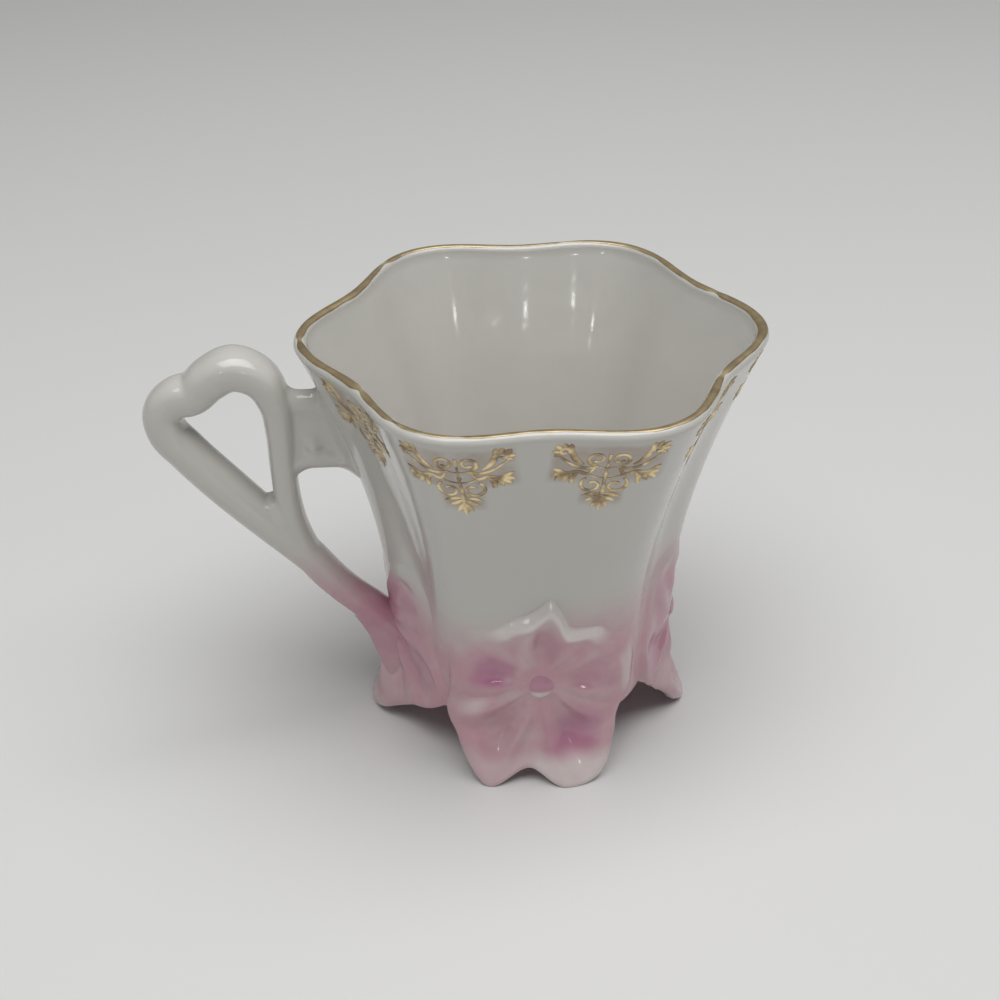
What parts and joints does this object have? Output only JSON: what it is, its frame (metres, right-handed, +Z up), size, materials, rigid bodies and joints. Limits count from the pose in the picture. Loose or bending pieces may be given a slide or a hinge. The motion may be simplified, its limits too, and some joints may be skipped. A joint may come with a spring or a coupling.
{
  "type": "footed cup",
  "caption": "Small porcelain cup with a lobed, flared bowl, a gilt lip, a pierced heart-shaped handle and feet formed by the petals of moulded blossoms; holds coffee, chocolate or tea.",
  "frame": {"origin": "on the bowl's axis, at the plane that the six toes stand on", "axes": "+Z up along the bowl's axis; the handle points along -X, so +X is away from it and -Y is the front with the paired feet"},
  "size_m": [0.0947, 0.065, 0.0688],
  "materials": {
    "porcelain": "clear gloss glaze",
    "blush": "airbrushed pink under gloss glaze",
    "rose": "rose enamel under gloss glaze",
    "gilding": "fired gold, lightly worn"
  },
  "bodies": {
    "root": {"bowl": "porcelain", "handle": "porcelain", "handle_lug": "porcelain", "blossom_front": "blush", "blossom_right": "blush", "blossom_back": "blush", "blossom_left": "blush", "boss_front": "rose", "boss_right": "rose", "boss_back": "rose", "foot_front_left": "blush", "foot_front_right": "blush", "foot_right": "blush", "foot_back_left": "blush", "foot_back_right": "blush", "foot_left": "blush", "lip_gilding": "gilding", "spray_1": "gilding", "spray_2": "gilding", "spray_3": "gilding", "spray_4": "gilding", "spray_5": "gilding", "spray_6": "gilding", "spray_7": "gilding", "spray_8": "gilding", "spray_9": "gilding"}
  },
  "joints": []
}
